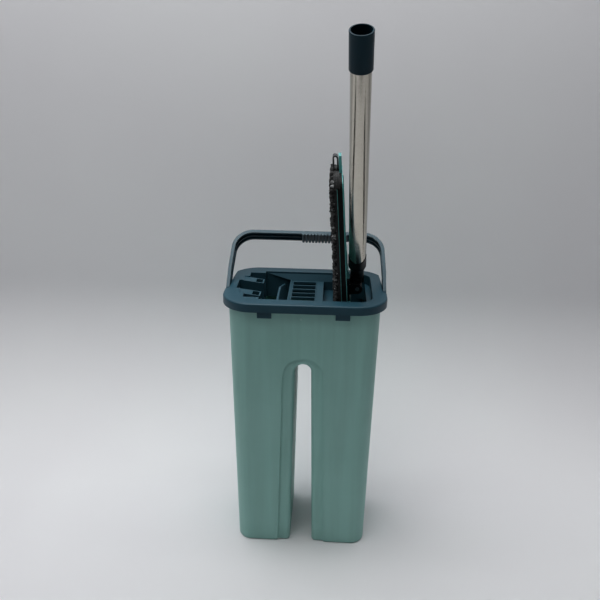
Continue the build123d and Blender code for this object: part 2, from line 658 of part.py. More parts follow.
def pull_loop():
    """The webbing loop sewn to the pad's top end."""
    rise = PAD_HALF_LENGTH + 0.1
    inner, outer = LOOP_RADII
    x, y = LOOP_CENTRE_X, LOOP_HALF_WIDTH
    loop = box((x - outer, x + outer), (-y, y), (rise, LOOP_TOP))
    loop += bar(outer, (x, -y, LOOP_TOP), (x, y, LOOP_TOP))
    loop -= box((x - inner, x + inner), (-y - 1, y + 1), (rise - 1, LOOP_TOP))
    loop -= bar(inner, (x, -y - 1, LOOP_TOP), (x, y + 1, LOOP_TOP))
    return seat_head(loop)


# ---- knuckle ------------------------------------------------------------------------------
# Its lower barrel turns on the fold pin, its upper barrel carries the swivel pin.

SWIVEL_TILT = degrees(atan2(-POLE_DIRECTION.X, POLE_DIRECTION.Z))
POLE_LEAN = degrees(atan2(-POLE_DIRECTION.Y, sqrt(POLE_DIRECTION.X**2 + POLE_DIRECTION.Z**2)))


def seat_swivel(shape):
    """Place a piece made about the swivel centre, its local X along the swivel pin."""
    return Pos(*SWIVEL_CENTRE) * Rot(0, -SWIVEL_TILT, 0) * shape


def seat_pole(shape):
    """Place a piece made with local Z along the pole from the swivel centre."""
    return seat_swivel(Rot(POLE_LEAN, 0, 0) * shape)


def knuckle():
    """The joint between the head and the pole: two crossed barrels on one block."""
    drop = SWIVEL_CENTRE.Z - FOLD_AXIS.Z
    low_radius, low_half = LOWER_BARREL
    top_radius, top_half = UPPER_BARREL
    body = bar(low_radius, (0, -low_half, -drop), (0, low_half, -drop))
    body += bar(top_radius, (-top_half, 0, 0), (top_half, 0, 0))
    body += box((-top_half, top_half), (-top_radius, top_radius), (-drop, 0))
    body = seat_swivel(body)
    body -= bar(PIN_RADIUS + RUNNING_CLEARANCE, FOLD_AXIS - Vector(0, 20, 0),
                FOLD_AXIS + Vector(0, 20, 0))
    body -= seat_swivel(bar(CROSS_PIN_RADIUS + RUNNING_CLEARANCE, (-20, 0, 0), (20, 0, 0)))
    return body


def swivel_pin():
    """The steel cross pin, peened at both ends, pressed in the fork."""
    half = FORK_HALF_WIDTH + 0.2
    return seat_swivel(bar(CROSS_PIN_RADIUS, (-half, 0, 0), (half, 0, 0)))


def fork_waist():
    """The fork's body, from its squared shoulders to the round collar."""
    low, middle, high = 9, 17, COLLAR_Z[0]
    across = 2 * COLLAR_RADIUS
    return loft([
        Pos(0, 0, low) * RectangleRounded(2 * FORK_HALF_WIDTH, 15.0, 4.0),
        Pos(0, 0, middle) * RectangleRounded(17.6, 17.6, 7.0),
        Pos(0, 0, high) * RectangleRounded(across, across, COLLAR_RADIUS - 0.1),
    ])


def pole_fork():
    """The moulded connector: two ears, a waist, a plug in the tube and a scalloped collar."""
    half = FORK_HALF_WIDTH
    ears = box((-half, half), (-FORK_EAR_RADIUS, FORK_EAR_RADIUS), (0, FORK_EAR_TOP))
    ears += bar(FORK_EAR_RADIUS, (-half, 0, 0), (half, 0, 0))
    plug_radius = TUBE_RADIUS - TUBE_WALL - FIT
    plug = bar(plug_radius, (0, 0, PLUG_Z[0]), (0, 0, PLUG_Z[1]))
    plug -= bar(plug_radius - PLUG_WALL + FIT, (0, 0, PLUG_BORE_START), (0, 0, PLUG_Z[1] + 1))
    collar = bar(COLLAR_RADIUS, (0, 0, COLLAR_Z[0]), (0, 0, COLLAR_Z[1]))
    scallop = bar(SCALLOP_RADIUS, (0, -30, SCALLOP_Z), (0, 30, SCALLOP_Z))
    body = fork_waist() + ears + (collar - scallop)
    body -= bar(TUBE_RADIUS + FIT, (0, 0, TUBE_FOOT - 0.2), (0, 0, COLLAR_Z[1] + 1))
    body += plug
    gap = FORK_GAP_HALF_WIDTH
    body -= box((-gap, gap), (-12, 12), (-10, FORK_GAP_RADIUS))
    body -= bar(FORK_GAP_RADIUS, (-gap, 0, 0), (gap, 0, 0))
    body -= bar(CROSS_PIN_RADIUS, (-12, 0, 0), (12, 0, 0))
    body -= fork_screw_hole()
    return seat_pole(body)


def fork_screw_hole():
    return bar(FORK_SCREW_RADIUS + 0.05, (0, 0, FORK_SCREW_Z), (0, 14, FORK_SCREW_Z))


def pole_tube():
    """The lowest length of the steel pole."""
    tube = bar(TUBE_RADIUS, (0, 0, TUBE_FOOT), (0, 0, POLE_LENGTH - SOCKET_DEPTH - 0.1))
    tube -= bar(TUBE_RADIUS - TUBE_WALL, (0, 0, TUBE_FOOT - 10), (0, 0, POLE_LENGTH))
    return seat_pole(tube - fork_screw_hole())


def fork_screw():
    """The self-tapping screw that holds the tube on the connector, at the back."""
    z = FORK_SCREW_Z
    seat = COLLAR_RADIUS + 0.45
    shank = bar(FORK_SCREW_RADIUS, (0, 8.5, z), (0, seat + 0.1, z))
    head = bar(FORK_SCREW_HEAD_RADIUS, (0, seat, z), (0, seat + 1.4, z))
    head -= box((-0.4, 0.4), (seat + 0.7, seat + 2.5), (z - 2, z + 2))
    return seat_pole(shank + head)


def pole_coupler():
    """The sleeve on the tube's top, open for the next length of pole."""
    foot = POLE_LENGTH - COUPLER_LENGTH
    sleeve = bar(COUPLER_RADIUS, (0, 0, foot), (0, 0, POLE_LENGTH))
    rims = [edge for edge in sleeve.edges() if edge.geom_type == GeomType.CIRCLE]
    sleeve = fillet(rims, SLEEVE_EDGE_RADIUS)
    stop = POLE_LENGTH - SOCKET_DEPTH
    sleeve -= bar(TUBE_RADIUS + 0.05, (0, 0, foot - 1), (0, 0, stop))
    sleeve -= bar(SOCKET_RADIUS, (0, 0, stop - 1), (0, 0, POLE_LENGTH + 1))
    return seat_pole(sleeve)


node("bucket_shell", bucket_shell())
node("top_frame", top_frame())
node("drain_grille", drain_grille())
node("squeeze_lip", squeeze_lip())
node("handle_pivots", handle_pivot(-1), handle_pivot(1))
node("carry_handle", handle_bail())
node("mop_plate", mop_plate())
node("edge_strip", edge_strip())
node("hinge_base", hinge_base())
node("hinge_screws", *[hinge_screw(y, z) for y, z in screw_places()])
node("fold_pin", fold_pin())
node("pad_cloth", pad_cloth())
node("pad_binding", pad_binding())
node("pad_pile", pad_pile())
node("pad_pockets", pad_pocket(-1), pad_pocket(1))
node("pull_loop", pull_loop())
node("knuckle", knuckle())
node("swivel_pin", swivel_pin())
node("pole_fork", pole_fork())
node("pole_tube", pole_tube())
node("fork_screw", fork_screw())
node("pole_coupler", pole_coupler())
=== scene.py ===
"""Flat squeeze mop standing in its two-legged bucket: the finished look around the CAD frame."""

import bpy
import bmesh
import json
from math import cos, pi, radians, sin
from mathutils import Matrix, Vector


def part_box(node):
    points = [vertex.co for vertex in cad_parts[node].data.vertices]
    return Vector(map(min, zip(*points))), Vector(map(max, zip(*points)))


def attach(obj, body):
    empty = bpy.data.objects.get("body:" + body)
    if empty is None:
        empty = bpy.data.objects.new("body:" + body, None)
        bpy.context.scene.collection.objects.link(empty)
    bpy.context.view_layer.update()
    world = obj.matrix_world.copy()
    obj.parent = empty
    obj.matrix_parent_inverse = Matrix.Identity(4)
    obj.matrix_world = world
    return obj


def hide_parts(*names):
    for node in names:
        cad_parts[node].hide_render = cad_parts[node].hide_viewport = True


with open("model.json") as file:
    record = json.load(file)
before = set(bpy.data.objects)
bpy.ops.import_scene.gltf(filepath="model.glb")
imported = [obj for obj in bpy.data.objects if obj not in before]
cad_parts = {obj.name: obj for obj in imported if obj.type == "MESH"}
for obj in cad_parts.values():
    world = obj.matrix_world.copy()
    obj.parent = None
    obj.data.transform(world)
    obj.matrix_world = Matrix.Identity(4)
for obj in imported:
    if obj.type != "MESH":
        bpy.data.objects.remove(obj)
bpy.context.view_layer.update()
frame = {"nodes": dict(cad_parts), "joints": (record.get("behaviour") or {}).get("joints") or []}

# ---- Camera -------------------------------------------------------------------------------
# A normal lens stands in front of the bucket, level with the top of the pole. It looks down on
# the open frame, a little to the left and slightly tipped.

camera_data = bpy.data.cameras.new("camera")
camera_data.sensor_width = 36
camera_data.lens = 39.785
camera = bpy.data.objects.new("camera", camera_data)
camera.location = (0.0338, -0.8642, 0.7248)
heading, dip, roll = radians(-2.781), radians(22.002), radians(0.745)
gaze = Vector((sin(heading) * cos(dip), cos(heading) * cos(dip), -sin(dip)))
level = Vector((cos(heading), -sin(heading), 0))
upright = level.cross(gaze)
across = cos(roll) * level + sin(roll) * upright
above = -sin(roll) * level + cos(roll) * upright
camera.rotation_mode = "QUATERNION"
camera.rotation_quaternion = Matrix((across, above, -gaze)).transposed().to_quaternion()
bpy.context.scene.collection.objects.link(camera)
bpy.context.scene.camera = camera
bpy.context.scene.view_settings.view_transform = "Standard"
bpy.context.scene.view_settings.gamma = 0.88

# ---- Studio -------------------------------------------------------------------------------
# A pale painted board that curves up close behind the bucket, a wide soft light overhead on the
# left, and dark felt cards that only reflections see: they draw the stripes on the steel and
# keep the upright faces deep in tone.


def colour(text):
    """Turn an sRGB hex value into linear RGBA."""
    parts = [int(text[i:i + 2], 16) / 255 for i in (1, 3, 5)]
    linear = [c / 12.92 if c <= 0.04045 else ((c + 0.055) / 1.055) ** 2.4 for c in parts]
    return (*linear, 1.0)


def add(tree, kind, sockets=None, stops=(), **settings):
    """Add a node. A socket takes a value, or another node's output that feeds it. The stops
    of a colour ramp are positions with their sRGB colours."""
    node = tree.nodes.new(kind)
    for name, value in settings.items():
        setattr(node, name, value)
    for key, value in (sockets or {}).items():
        if isinstance(value, bpy.types.NodeSocket):
            tree.links.new(value, node.inputs[key])
        else:
            node.inputs[key].default_value = value
    for _ in range(len(stops) - 2):
        node.color_ramp.elements.new(0.5)
    for index, (position, text) in enumerate(stops):
        node.color_ramp.elements[index].position = position
        node.color_ramp.elements[index].color = colour(text)
    return node


def new_material(name, roughness, ior=None, metallic=0.0):
    """A node material with its tree, its Principled shader and its object coordinates."""
    material = bpy.data.materials.new(name)
    material.use_nodes = True
    tree = material.node_tree
    shader = tree.nodes["Principled BSDF"]
    shader.inputs["Roughness"].default_value = roughness
    shader.inputs["Metallic"].default_value = metallic
    if ior:
        shader.inputs["IOR"].default_value = ior
    place = add(tree, "ShaderNodeTexCoord").outputs["Object"]
    return material, tree, shader, place


def link_object(name, mesh):
    """An object at the origin that shows a mesh."""
    piece = bpy.data.objects.new(name, mesh)
    bpy.context.scene.collection.objects.link(piece)
    return piece


# Painted board: a matt, faintly mottled off-white.
board_paint, tree, shader, place = new_material("matt_painted_board", 0.75)
mottle = add(tree, "ShaderNodeTexNoise", {"Vector": place, "Scale": 3.0})
paint = add(tree, "ShaderNodeValToRGB", {"Fac": mottle.outputs["Fac"]},
            stops=[(0.3, "#E0E0E3"), (0.7, "#E3E4E6")])
tree.links.new(paint.outputs["Color"], shader.inputs["Base Color"])
side_seen = add(tree, "ShaderNodeNewGeometry")
clear = add(tree, "ShaderNodeBsdfTransparent")
one_sided = add(tree, "ShaderNodeMixShader", {0: side_seen.outputs["Backfacing"],
                                              1: shader.outputs["BSDF"], 2: clear.outputs["BSDF"]})
tree.links.new(one_sided.outputs["Shader"], tree.nodes["Material Output"].inputs["Surface"])

board_half, bend_start, bend_radius, wall_top, bend_steps = 4.0, 0.06, 0.27, 5.0, 16
# The row of points at 1 m keeps the smooth shading of the bend near the bend.
side_line = [(-board_half, 0.0), (-1.0, 0.0), (bend_start, 0.0)]
for step in range(1, bend_steps + 1):
    turn = step / bend_steps * pi / 2
    side_line.append((bend_start + bend_radius * sin(turn), bend_radius * (1 - cos(turn))))
side_line.append((bend_start + bend_radius, wall_top))
points = [(x, y, z) for y, z in side_line for x in (-board_half, board_half)]
strips = [(i, i + 1, i + 3, i + 2) for i in range(0, len(points) - 2, 2)]
# The ground carries on behind the bend, just below the board.
ground_level = -0.002
ground = [(-board_half, bend_start, ground_level), (board_half, bend_start, ground_level),
          (board_half, board_half, ground_level), (-board_half, board_half, ground_level)]
for name, corners, faces in (("board", points, strips), ("ground_behind", ground, [(0, 1, 2, 3)])):
    mesh = bpy.data.meshes.new(name)
    mesh.from_pydata(corners, [], faces)
    mesh.materials.append(board_paint)
    for polygon in mesh.polygons:
        polygon.use_smooth = True
    surface = link_object(name, mesh)
    surface.visible_shadow = False

# Felt on card: nearly black and quite without gloss.
felt, tree, shader, place = new_material("black_felt_card", 0.95)
fuzz = add(tree, "ShaderNodeTexNoise", {"Vector": place, "Scale": 400.0})
felt_tone = add(tree, "ShaderNodeValToRGB", {"Fac": fuzz.outputs["Fac"]},
                stops=[(0.3, "#0C0C0D"), (0.7, "#141416")])
tree.links.new(felt_tone.outputs["Color"], shader.inputs["Base Color"])
card_height = 0.01
for name, low_x, high_x, low_y, high_y in (("left_card", -0.65, -0.45, -0.35, 0.5),
                                           ("right_card", 0.56, 0.74, -0.35, 0.5),
                                           ("front_card", -3.0, 3.0, -3.9, -0.58)):
    mesh = bpy.data.meshes.new(name)
    corners = [(x, y, card_height) for x, y in ((low_x, low_y), (high_x, low_y),
                                                (high_x, high_y), (low_x, high_y))]
    mesh.from_pydata(corners, [], [(0, 1, 2, 3)])
    mesh.materials.append(felt)
    card = link_object(name, mesh)
    card.visible_camera = False
    card.visible_diffuse = False
    card.visible_transmission = False
    card.visible_shadow = False

for name, spot, aim, size, power in (
        ("overhead", (-0.42, -0.25, 2.3), (0.0, 0.15, 0.0), (1.7, 1.5), 27.5),
        ("ceiling", (0.0, -0.6, 4.6), (0.0, -0.6, 0.0), (7.0, 7.0), 56),
        ("backdrop_wash", (-0.1, 0.0, 1.55), (-0.1, 0.33, 1.3), (1.8, 0.25), 6.5)):
    lamp_data = bpy.data.lights.new(name, "AREA")
    lamp_data.shape = "RECTANGLE"
    lamp_data.size, lamp_data.size_y = size
    lamp_data.energy = power
    lamp = bpy.data.objects.new(name, lamp_data)
    lamp.location = spot
    lamp.rotation_euler = (Vector(aim) - Vector(spot)).to_track_quat("-Z", "Y").to_euler()
    bpy.context.scene.collection.objects.link(lamp)

world = bpy.data.worlds.new("room")
world.use_nodes = True
tree = world.node_tree
tree.nodes["Background"].inputs["Color"].default_value = colour("#BCBDC0")
tree.nodes["Background"].inputs["Strength"].default_value = 0.05
far_wall = add(tree, "ShaderNodeBackground", {"Color": colour("#B4B4B6"), "Strength": 1.0})
seen = add(tree, "ShaderNodeLightPath")
room = add(tree, "ShaderNodeMixShader", {0: seen.outputs["Is Camera Ray"],
                                         1: tree.nodes["Background"].outputs["Background"],
                                         2: far_wall.outputs["Background"]})
tree.links.new(room.outputs["Shader"], tree.nodes["World Output"].inputs["Surface"])
bpy.context.scene.world = world

# ---- Bucket shell -------------------------------------------------------------------------
# The tall two-legged tub is one thin polypropylene moulding. It comes out of a spark-eroded
# mould with a fine satin grain, faint upright flow marks and a gate mark below the rim.

nodes = frame["nodes"]


def finish_node(name, material):
    """Give a CAD node its finished material."""
    slots = nodes[name].data.materials
    slots.clear()
    slots.append(material)


def moulded(tree, shader, place, stops, gloss, grain_mm, depth_mm, drift_scale=9.0):
    """Moulded plastic: a soft drift of tone and gloss over a fine moulded-in grain."""
    drift = add(tree, "ShaderNodeTexNoise", {"Vector": place, "Scale": drift_scale, "Detail": 4.0})
    tone = add(tree, "ShaderNodeValToRGB", {"Fac": drift.outputs["Fac"]}, stops=stops)
    sheen = add(tree, "ShaderNodeMapRange", {"Value": drift.outputs["Fac"], "From Min": 0.3,
                                             "From Max": 0.7, "To Min": gloss[0], "To Max": gloss[1]})
    grain = add(tree, "ShaderNodeTexNoise", {"Vector": place, "Scale": 1000 / grain_mm,
                                             "Detail": 2.0})
    bump = add(tree, "ShaderNodeBump", {"Height": grain.outputs["Fac"], "Strength": 0.5,
                                        "Distance": depth_mm / 1000})
    tree.links.new(sheen.outputs["Result"], shader.inputs["Roughness"])
    tree.links.new(bump.outputs["Normal"], shader.inputs["Normal"])
    tree.links.new(tone.outputs["Color"], shader.inputs["Base Color"])
    return tone, bump


# Satin polypropylene: waxy and slightly soft to the eye, with a wide dim highlight. The spark
# grain is about 0.3 mm in life and is drawn at 1.5 mm so that it shows.
mint_pp, tree, shader, place = new_material("satin_mint_polypropylene", 0.42, ior=1.49)
tone, grain_bump = moulded(tree, shader, place, stops=[(0.32, "#94C4BC"), (0.68, "#9CCAC3")],
                           gloss=(0.36, 0.47), grain_mm=1.5, depth_mm=0.05)
stretch = add(tree, "ShaderNodeMapping", {"Vector": place, "Scale": (60.0, 60.0, 3.0)})
flow = add(tree, "ShaderNodeTexNoise", {"Vector": stretch.outputs["Vector"], "Scale": 1.0,
                                        "Detail": 3.0, "Distortion": 0.4})
flow_tone = add(tree, "ShaderNodeValToRGB", {"Fac": flow.outputs["Fac"]},
                stops=[(0.35, "#F4F4F4"), (0.65, "#FFFFFF")])
streaked = add(tree, "ShaderNodeMix", {0: 1.0, 6: tone.outputs["Color"],
                                       7: flow_tone.outputs["Color"]},
               data_type="RGBA", blend_type="MULTIPLY")
# The gate mark is a low disc about 3 mm across, lighter than the wall, high on the front.
gate_at = (-0.003, -0.0667, 0.3745)
from_gate = add(tree, "ShaderNodeVectorMath", {0: place, 1: gate_at}, operation="DISTANCE")
gate_face = add(tree, "ShaderNodeMapRange", {"Value": from_gate.outputs["Value"],
                                             "From Min": 0.0012, "From Max": 0.0020,
                                             "To Min": 1.0, "To Max": 0.0})
gate_mix = add(tree, "ShaderNodeMix", {0: gate_face.outputs["Result"], 6: streaked.outputs[2],
                                       7: colour("#A9CFC9")}, data_type="RGBA")
tree.links.new(gate_mix.outputs[2], shader.inputs["Base Color"])
gate_bump = add(tree, "ShaderNodeBump", {"Height": gate_face.outputs["Result"], "Strength": 0.6,
                                         "Distance": 0.0004, "Normal": grain_bump.outputs["Normal"]})
tree.links.new(gate_bump.outputs["Normal"], shader.inputs["Normal"])
finish_node("bucket_shell", mint_pp)

# ---- Top frame, grille and lip ------------------------------------------------------------
# The slate frame is a separate polypropylene moulding clipped over the tub, with the comb and
# the drain grille inside it. The squeeze lip is a softer strip pressed onto the scraper wall.

# Slate polypropylene: a little glossier than the tub, so that flat tops carry a pale bloom.
slate_pp, tree, shader, place = new_material("satin_slate_polypropylene", 0.38, ior=1.49)
moulded(tree, shader, place, stops=[(0.32, "#284C5A"), (0.68, "#2F5462")],
        gloss=(0.33, 0.44), grain_mm=1.2, depth_mm=0.05)
shader.inputs["Specular IOR Level"].default_value = 0.42
for name in ("top_frame", "drain_grille"):
    finish_node(name, slate_pp)

# Thermoplastic rubber: dark and nearly matt, with a tight mould grain that breaks up highlights.
soft_rubber, tree, shader, place = new_material("matt_black_thermoplastic_rubber", 0.62, ior=1.5)
moulded(tree, shader, place, stops=[(0.32, "#090B0C"), (0.68, "#0F1214")],
        gloss=(0.55, 0.68), grain_mm=0.9, depth_mm=0.06, drift_scale=20.0)
shader.inputs["Specular IOR Level"].default_value = 0.35
finish_node("squeeze_lip", soft_rubber)

# ---- Carrying handle ----------------------------------------------------------------------
# The bail is one moulding in the frame's slate plastic, a channel with a ribbed grip. Two pins
# of the same plastic, pushed through its eyes, hold it to the frame.

for name in ("carry_handle", "handle_pivots"):
    finish_node(name, slate_pp)

# ---- Mop plate and hinge ------------------------------------------------------------------
# The plate is a glossy teal ABS moulding with a tongue at each end and a soft strip round its
# edge. A black foot holds the fold pin, and four small plated screws fix it.

finish_node("edge_strip", soft_rubber)

# Glossy ABS: clear highlights with a slight ripple where the moulding has sunk over its ribs.
teal_abs, tree, shader, place = new_material("glossy_teal_abs", 0.24, ior=1.53)
moulded(tree, shader, place, stops=[(0.3, "#5CA5A5"), (0.7, "#66AFAE")],
        gloss=(0.2, 0.3), grain_mm=4.0, depth_mm=0.06, drift_scale=14.0)
finish_node("mop_plate", teal_abs)

# Black polypropylene: deep and satin, a shade lighter where it catches the light from above.
black_pp, tree, shader, place = new_material("satin_black_polypropylene", 0.4, ior=1.49)
moulded(tree, shader, place, stops=[(0.32, "#0B0D0F"), (0.68, "#121517")],
        gloss=(0.34, 0.46), grain_mm=1.0, depth_mm=0.05, drift_scale=16.0)
for name in ("hinge_base", "knuckle"):
    finish_node(name, black_pp)

# Zinc-plated steel: cool and bright with a faintly cloudy plating and fine tumbling scratches.
plated, tree, shader, place = new_material("zinc_plated_small_steel", 0.3, metallic=1.0)
cloud = add(tree, "ShaderNodeTexNoise", {"Vector": place, "Scale": 260.0, "Detail": 3.0})
plating = add(tree, "ShaderNodeValToRGB", {"Fac": cloud.outputs["Fac"]},
              stops=[(0.3, "#B9BBBD"), (0.7, "#D2D3D4")])
tree.links.new(plating.outputs["Color"], shader.inputs["Base Color"])
scratch = add(tree, "ShaderNodeTexNoise", {"Vector": place, "Scale": 900.0, "Detail": 4.0})
dull = add(tree, "ShaderNodeMapRange", {"Value": scratch.outputs["Fac"], "To Min": 0.22,
                                        "To Max": 0.42})
tree.links.new(dull.outputs["Result"], shader.inputs["Roughness"])
nick = add(tree, "ShaderNodeBump", {"Height": scratch.outputs["Fac"], "Strength": 0.3,
                                    "Distance": 0.00003})
tree.links.new(nick.outputs["Normal"], shader.inputs["Normal"])
for name in ("hinge_screws", "fold_pin", "swivel_pin"):
    finish_node(name, plated)

# ---- Mop pad backing ----------------------------------------------------------------------
# The washable pad starts as a black woven cloth layer, lightly padded, that lies against the
# front of the plate. It leans with the plate in the dry chute. Sizes here are in millimetres.

joint_at = {joint["name"]: Vector(joint["pos_m"]) for joint in frame["joints"] if "pos_m" in joint}
fold_axis = joint_at["head_fold"]
plate_lean = radians(-4.2)
plate_behind_axis = 0.0139
head_place = (Matrix.Translation(fold_axis) @ Matrix.Rotation(plate_lean, 4, "Y")
              @ Matrix.Translation((-plate_behind_axis, 0, 0)))
plate_front = -8.0
cloth_front = -11.2
pad_half_length, pad_half_width, pad_corner = 162.0, 50.0, 16.0
tape_overlap = 1.5


def outline(half_length, half_width, corner, corner_steps=10, spacing=5.0):
    """Points and outward normals round the pad, in millimetres across and along it."""
    line = []
    for quarter in range(4):
        centre_y = (half_width - corner) * (1 if quarter in (0, 3) else -1)
        centre_z = (half_length - corner) * (1 if quarter in (0, 1) else -1)
        for step in range(corner_steps + 1):
            turn = (quarter + step / corner_steps) * pi / 2
            out = (cos(turn), sin(turn))
            line.append((centre_y + corner * out[0], centre_z + corner * out[1], *out))
    even = []
    for here, after in zip(line, line[1:] + line[:1]):
        run = ((after[0] - here[0]) ** 2 + (after[1] - here[1]) ** 2) ** 0.5
        parts = max(1, round(run / spacing))
        for k in range(parts):
            even.append(tuple(a + (b - a) * k / parts for a, b in zip(here, after)))
    return even


def crowned_slab(name, half_length, half_width, corner, back, front, rings, rise):
    """A closed slab in the plate's axes. Its front is crowned by rise(inset, y, z)."""
    mesh_edit = bmesh.new()
    loops = []
    thickness = back - front
    edge = outline(half_length, half_width, corner)
    # The wall turns over a rounded edge before the rings run in across the face.
    for x, inset in ((back, thickness * 0.15), (back - thickness * 0.2, 0.0),
                     (front + thickness * 0.45, 0.0), (front + thickness * 0.15, thickness * 0.2)):
        loops.append([(x, y - ny * inset, z - nz * inset) for y, z, ny, nz in edge])
    first_inset, last_inset = thickness * 0.5, half_width - 0.6
    for ring in range(rings):
        inset = first_inset + ring / (rings - 1) * (last_inset - first_inset)
        row = []
        for y, z, ny, nz in edge:
            limit_y, limit_z = half_width - inset, half_length - inset
            near_y = y * limit_y / half_width
            near_z = z * limit_z / half_length
            row.append((front - rise(inset, near_y, near_z), near_y, near_z))
        loops.append(row)
    loop_verts = [[mesh_edit.verts.new(head_place @ (Vector(p) * 0.001)) for p in row]
                  for row in loops]
    for low, high in zip(loop_verts, loop_verts[1:]):
        for i, here in enumerate(low):
            after = (i + 1) % len(low)
            mesh_edit.faces.new((here, low[after], high[after], high[i]))
    mesh_edit.faces.new(loop_verts[0])
    mesh_edit.faces.new(loop_verts[-1])
    bmesh.ops.recalc_face_normals(mesh_edit, faces=mesh_edit.faces)
    mesh = bpy.data.meshes.new(name)
    mesh_edit.to_mesh(mesh)
    mesh_edit.free()
    for polygon in mesh.polygons:
        polygon.use_smooth = True
    return link_object(name, mesh)


def plate_axes(tree, place):
    """Object coordinates turned into the plate's axes, so that a weave runs along the pad."""
    return add(tree, "ShaderNodeMapping", {"Vector": place, "Rotation": (0, -plate_lean, 0)},
               vector_type="POINT").outputs["Vector"]


def weave(tree, shader, place, thread_mm, stops, depth_mm):
    """Plain woven cloth: crossing threads with uneven dye, a painted highlight on the crests and
    painted shade in the hollows.
    """
    # A wave texture of scale 1 repeats every 2 pi / 20 of a metre.
    bands = 2 * pi / 20 * 1000 / thread_mm
    warp = add(tree, "ShaderNodeTexWave", {"Vector": place, "Scale": bands, "Distortion": 0.4,
                                           "Detail Scale": 3.0}, bands_direction="Y")
    weft = add(tree, "ShaderNodeTexWave", {"Vector": place, "Scale": bands, "Distortion": 0.4,
                                           "Detail Scale": 3.0}, bands_direction="Z")
    crossing = add(tree, "ShaderNodeMath", {0: warp.outputs["Fac"], 1: weft.outputs["Fac"]},
                   operation="MULTIPLY")
    fluff = add(tree, "ShaderNodeTexNoise", {"Vector": place, "Scale": 500.0, "Detail": 3.0})
    height = add(tree, "ShaderNodeMath", {0: crossing.outputs["Value"], 1: fluff.outputs["Fac"]},
                 operation="ADD")
    # The colour follows the threads' height: painted highlight on the crests and painted shade in the
    # hollows between them, over a random fibre mottle.
    weave_tone_and_shade = add(tree, "ShaderNodeValToRGB", {"Fac": height.outputs["Value"]}, stops=stops)
    tree.links.new(weave_tone_and_shade.outputs["Color"], shader.inputs["Base Color"])
    bump = add(tree, "ShaderNodeBump", {"Height": height.outputs["Value"], "Strength": 0.8,
                                        "Distance": depth_mm / 1000})
    tree.links.new(bump.outputs["Normal"], shader.inputs["Normal"])


# Polyester cloth: matt with a low fibre sheen. Threads are 0.4 mm in life, drawn at 1.2 mm.
black_cloth, tree, shader, place = new_material("woven_black_polyester", 0.9, ior=1.5)
weave(tree, shader, plate_axes(tree, place), thread_mm=1.2, depth_mm=0.25,
      stops=[(0.3, "#070809"), (1.0, "#1C1F21")])
shader.inputs["Sheen Weight"].default_value = 0.25
shader.inputs["Sheen Roughness"].default_value = 0.5

# The cloth is quilted in soft bumps about 15 mm apart, which fade out over its last 10 mm.
quilt_height, quilt_along, quilt_across, quilt_fade = 0.25, 0.21, 0.19, 10
cloth_size = (pad_half_length - tape_overlap, pad_half_width - tape_overlap, pad_corner - tape_overlap)
backing = crowned_slab("pad_backing", *cloth_size, back=plate_front, front=cloth_front, rings=8,
                       rise=lambda inset, y, z: quilt_height * sin(z * quilt_along)
                       * sin(y * quilt_across) * min(inset / quilt_fade, 1))
backing.data.materials.append(black_cloth)
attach(backing, "mop_head")
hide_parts("pad_cloth")

# ---- Pad binding and end pockets ----------------------------------------------------------
# A folded tape is sewn round the backing's edge. Two narrow pockets of the same tape wrap the
# ends of the plate. A row of grey stitches holds the tape down.


def swept_band(name, line, section, closed):
    """A band with a closed cross-section of (x, outwards) points, swept along an outline."""
    mesh_edit = bmesh.new()
    rows = []
    for y, z, ny, nz in line:
        rows.append([mesh_edit.verts.new(head_place @ (Vector((x, y + ny * out, z + nz * out)) * 0.001))
                     for x, out in section])
    pairs = list(zip(rows, rows[1:] + rows[:1])) if closed else list(zip(rows, rows[1:]))
    for low, high in pairs:
        for i in range(len(section)):
            after = (i + 1) % len(section)
            mesh_edit.faces.new((low[i], low[after], high[after], high[i]))
    if not closed:
        mesh_edit.faces.new(rows[0])
        mesh_edit.faces.new(rows[-1])
    bmesh.ops.recalc_face_normals(mesh_edit, faces=mesh_edit.faces)
    mesh = bpy.data.meshes.new(name)
    mesh_edit.to_mesh(mesh)
    mesh_edit.free()
    for polygon in mesh.polygons:
        polygon.use_smooth = True
    return link_object(name, mesh)


def rounded_section(x_low, x_high, out_low, out_high, soft, puff):
    """A soft-cornered rectangle that bulges outwards by puff in its middle."""
    section = []
    for centre_x, centre_out, start in ((x_high - soft, out_high - soft, 0),
                                        (x_low + soft, out_high - soft, 1),
                                        (x_low + soft, out_low + soft, 2),
                                        (x_high - soft, out_low + soft, 3)):
        for step in range(4):
            turn = (start + step / 3) * pi / 2
            section.append((centre_x + soft * cos(turn), centre_out + soft * sin(turn)))
        if start == 0:
            section.append(((x_low + x_high) / 2, out_high + puff))
    return section


tape_wrap, tape_thick = 0.2, 1.3
binding_line = outline(*cloth_size, corner_steps=12)
tape_section = rounded_section(cloth_front - tape_wrap, plate_front, -tape_wrap, tape_thick,
                               soft=0.55, puff=0.2)
binding = swept_band("pad_tape", binding_line, tape_section, closed=True)
# Folded polyester tape: painted a touch greyer than the cloth all over, a painted highlight
# for its folded edge where it catches the light.
# Threads are 0.3 mm in life, drawn at 0.9 mm.
tape_cloth, tree, shader, place = new_material("folded_black_binding_tape", 0.85, ior=1.5)
weave(tree, shader, plate_axes(tree, place), thread_mm=0.9, depth_mm=0.2,
      stops=[(0.35, "#08090A"), (1.0, "#202427")])
shader.inputs["Sheen Weight"].default_value = 0.3
shader.inputs["Sheen Roughness"].default_value = 0.45
binding.data.materials.append(tape_cloth)
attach(binding, "mop_head")
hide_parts("pad_binding")

